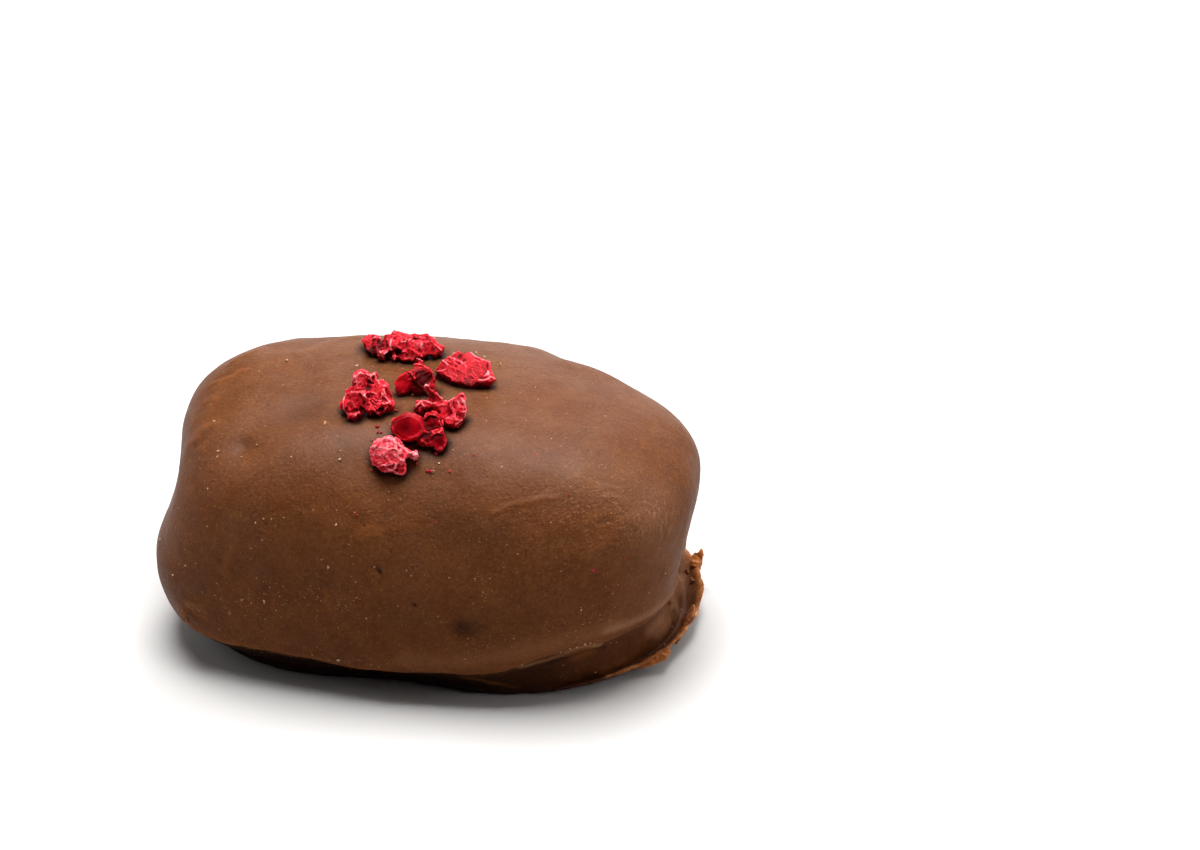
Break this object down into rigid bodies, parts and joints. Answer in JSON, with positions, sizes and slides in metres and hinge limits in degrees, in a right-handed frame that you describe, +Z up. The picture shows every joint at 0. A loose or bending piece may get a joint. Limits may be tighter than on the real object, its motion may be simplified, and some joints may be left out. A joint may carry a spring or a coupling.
{
  "type": "chocolate-covered date",
  "caption": "Milk-chocolate-coated stuffed date, a plump rounded bar with a thin curled foot edge and small dried raspberry bits on top.",
  "frame": {"origin": "on the surface that the date rests on, below the middle of its bounding box", "axes": "+X along the date towards the end with the curled foot edge, -Y towards its front side, +Z up"},
  "size_m": [0.0466, 0.029, 0.0256],
  "materials": {
    "chocolate": "milk chocolate coat, satin, with fine specks and scratches",
    "raspberry": "freeze-dried raspberry, wrinkled, dry and matte"
  },
  "bodies": {
    "root": {"chocolate_date": "chocolate"}
  },
  "joints": []
}
